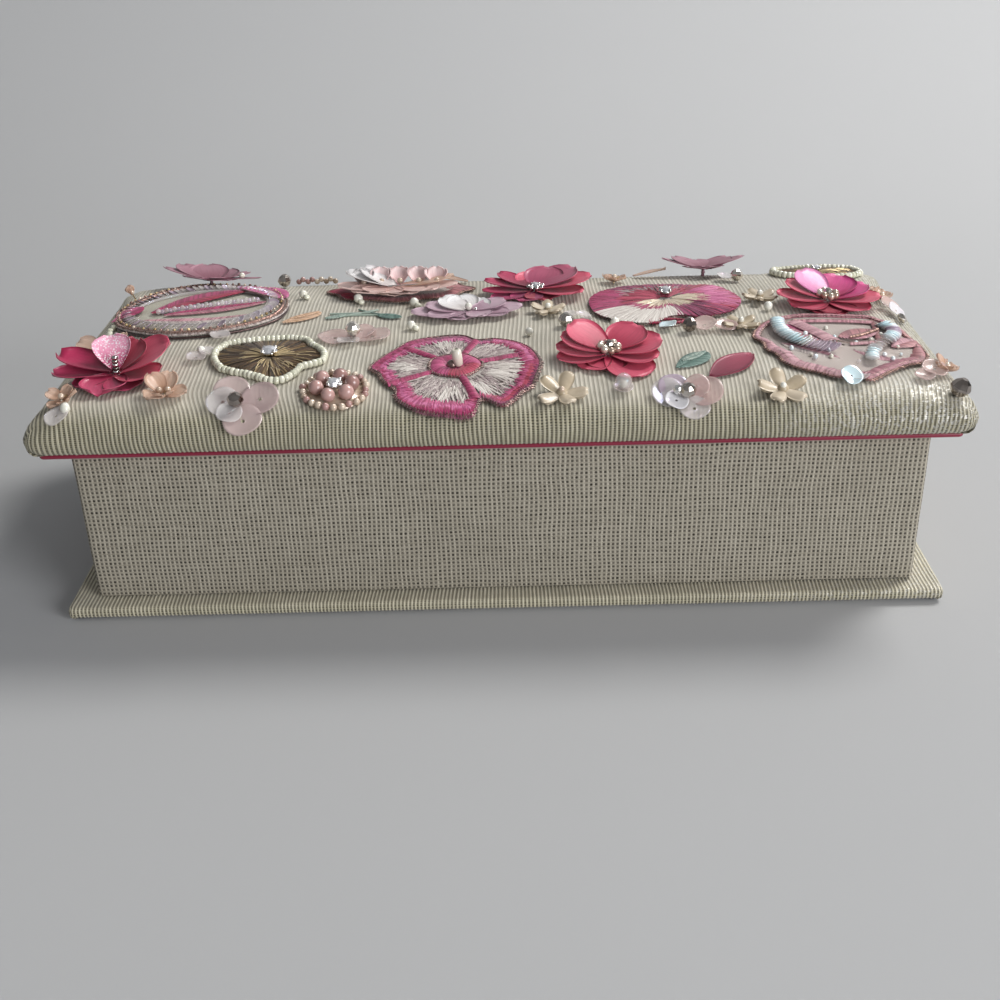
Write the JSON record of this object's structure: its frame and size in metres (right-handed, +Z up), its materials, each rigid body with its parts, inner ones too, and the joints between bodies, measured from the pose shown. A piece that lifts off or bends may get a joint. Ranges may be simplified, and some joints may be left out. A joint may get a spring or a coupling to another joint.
{
  "type": "fabric box",
  "caption": "Book-style fabric keepsake box: linen tray on a gauze-covered base, with a padded, cloth-hinged lid trimmed with petal flowers, embroidery, beads and sequins.",
  "frame": {"origin": "on the floor, under the middle of the closed case", "axes": "+X along the box to its right, +Y to its hinged back, +Z up"},
  "size_m": [0.25, 0.1139, 0.0725],
  "materials": {
    "board": "raw grey-brown pasteboard",
    "lining_paper": "plain paper lining",
    "ribbed_gauze": "ribbed gauze with ivory and silver threads over a darker ground",
    "greige_linen": "fine plain-weave linen, matt",
    "pink_silk": "hot pink silk, soft sheen",
    "wadding": "white polyester wadding",
    "magenta_embroidery": "satin stitch in magenta and ivory with a metallic edge",
    "rose_embroidery": "satin stitch in rose with sequins",
    "mauve_organza": "translucent dusty mauve organza",
    "blush_organza": "translucent blush organza",
    "coral_satin": "glossy coral and pink satin",
    "crimson_satin": "crimson satin",
    "teal_thread": "teal satin stitch",
    "peach_thread": "peach satin stitch",
    "ivory_beads": "ivory-green glass seed beads",
    "mauve_sequin": "translucent mauve film, glossy",
    "pink_sequin": "translucent pink film, glossy",
    "clear_sequin": "clear iridescent film",
    "rose_pearl": "rose and cream imitation pearl",
    "cream_resin": "moulded cream resin",
    "peach_resin": "moulded peach resin",
    "silver": "bright silvered bead"
  },
  "bodies": {
    "case": {"base_board": "board", "base_cover": "ribbed_gauze", "base_lining": "lining_paper", "spine_board": "board", "spine_cloth": "ribbed_gauze", "front_wall": "board", "back_wall": "board", "left_wall": "board", "right_wall": "board", "tray_floor": "board", "tray_cloth": "greige_linen", "lining_front": "pink_silk", "lining_back": "pink_silk", "lining_left": "pink_silk", "lining_right": "pink_silk", "lining_floor": "pink_silk", "silk_strip_tray": "pink_silk"},
    "lid": {"lid_board": "board", "lid_cover": "ribbed_gauze", "hinge_cloth": "ribbed_gauze", "silk_strip_lid": "pink_silk", "lid_liner": "pink_silk", "lid_wadding": "wadding", "embroidery_oval": "magenta_embroidery", "embroidery_flower_front": "magenta_embroidery", "embroidery_flower_right": "magenta_embroidery", "embroidery_shell": "rose_embroidery", "embroidery_blush": "rose_embroidery", "mauve_flower_back_left": "mauve_organza", "mauve_flower_back_right": "mauve_organza", "lilac_flower": "mauve_organza", "blush_flower": "blush_organza", "coral_flower_left": "coral_satin", "coral_flower_right": "coral_satin", "coral_flower_middle": "coral_satin", "crimson_flower": "crimson_satin", "leaf_pink": "crimson_satin", "sprig_teal": "teal_thread", "leaf_teal": "teal_thread", "leaf_peach": "peach_thread", "bead_clover_left": "ivory_beads", "bead_clover_right": "ivory_beads", "sequin_flower_mauve": "mauve_sequin", "sequin_flower_pink": "pink_sequin", "sequin_flower_white": "clear_sequin", "pearl_cluster": "rose_pearl", "pearl_front": "rose_pearl", "cream_flower_1": "cream_resin", "cream_flower_2": "cream_resin", "cream_flower_3": "cream_resin", "cream_flower_4": "cream_resin", "cream_flower_5": "cream_resin", "peach_flower_1": "peach_resin", "peach_flower_2": "peach_resin", "peach_flower_3": "peach_resin", "peach_flower_4": "peach_resin", "peach_flower_5": "peach_resin", "peach_flower_6": "peach_resin", "silver_bead": "silver", "faceted_ball": "silver"}
  },
  "joints": [
    {"name": "lid_hinge", "type": "hinge", "parent": "case", "child": "lid", "pos_m": [0, 0.0563, 0.0499], "axis": [-1, 0, 0], "range_deg": [0, 110]}
  ]
}
